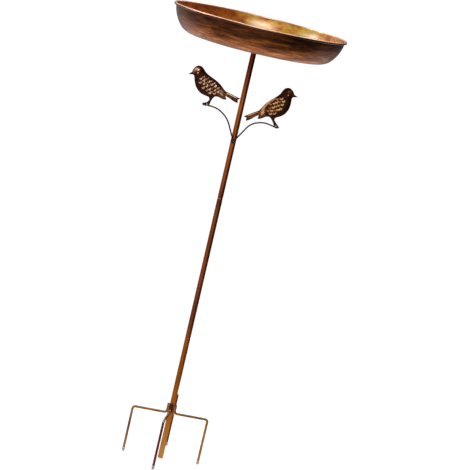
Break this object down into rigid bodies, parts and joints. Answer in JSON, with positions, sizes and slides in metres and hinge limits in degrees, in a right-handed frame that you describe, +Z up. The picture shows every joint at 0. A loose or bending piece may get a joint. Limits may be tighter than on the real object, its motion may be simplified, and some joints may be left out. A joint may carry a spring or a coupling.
{
  "type": "garden dish on a pole",
  "caption": "Shallow round dish on a slim take-apart ground stake, with a forked prong foot and a wire branch carrying two pressed birds.",
  "frame": {"origin": "centre of the pole's cut lower end, on the plane of the pole end and the four prong tips", "axes": "+Z up the pole, +X to the right seen from the front, -Y to the front, where the branch and birds are"},
  "size_m": [0.35, 0.35, 0.9292],
  "materials": {
    "dish_copper": "glossy copper finish with brushed streaks",
    "pole_copper": "satin copper finish with dark patches",
    "prong_bronze": "satin bronze finish, worn to steel at the tips",
    "wire_bronze": "dark bronze finish",
    "bird_copper": "dark patina with burnished copper on the raised feathers",
    "weld_metal": "lumpy dark weld under the finish",
    "plated_steel": "zinc plated",
    "black_rubber": "matt"
  },
  "bodies": {
    "stake": {"pole_bottom": "pole_copper", "prong_right": "prong_bronze", "prong_back": "prong_bronze", "prong_left": "prong_bronze", "prong_front": "prong_bronze", "prong_weld_right": "weld_metal", "prong_weld_back": "weld_metal", "prong_weld_left": "weld_metal", "prong_weld_front": "weld_metal"},
    "middle_section": {"pole_middle": "pole_copper"},
    "top_section": {"pole_top": "pole_copper", "threaded_insert": "plated_steel", "support_plate": "pole_copper", "plate_weld": "weld_metal", "rubber_pad": "black_rubber", "branch_wire": "wire_bronze", "branch_weld": "weld_metal", "bird_left": "bird_copper", "bird_right": "bird_copper", "bird_tack_left": "weld_metal", "bird_tack_right": "weld_metal"},
    "dish_section": {"dish": "dish_copper"},
    "washers": {"rubber_seal": "black_rubber", "washer": "plated_steel"},
    "screw": {"dish_screw": "plated_steel"}
  },
  "joints": [
    {"name": "middle_section_lift", "type": "slide", "parent": "stake", "child": "middle_section", "axis": [0, 0, 1], "range_m": [0, 0.045]},
    {"name": "top_section_lift", "type": "slide", "parent": "middle_section", "child": "top_section", "axis": [0, 0, 1], "range_m": [0, 0.045]},
    {"name": "dish_lift", "type": "slide", "parent": "top_section", "child": "dish_section", "axis": [0, 0, 1], "range_m": [0, 0.03]},
    {"name": "washers_rise", "type": "slide", "parent": "dish_section", "child": "washers", "axis": [0, 0, 1], "range_m": [0, 0.015]},
    {"name": "screw_turn", "type": "hinge", "parent": "washers", "child": "screw", "pos_m": [0, 0, 0.879], "axis": [0, 0, 1], "range_deg": [0, 5410]}
  ],
  "couplings": [
    {"joint": "screw_turn", "follows": "washers_rise", "rad_per_m": 6283.2}
  ]
}
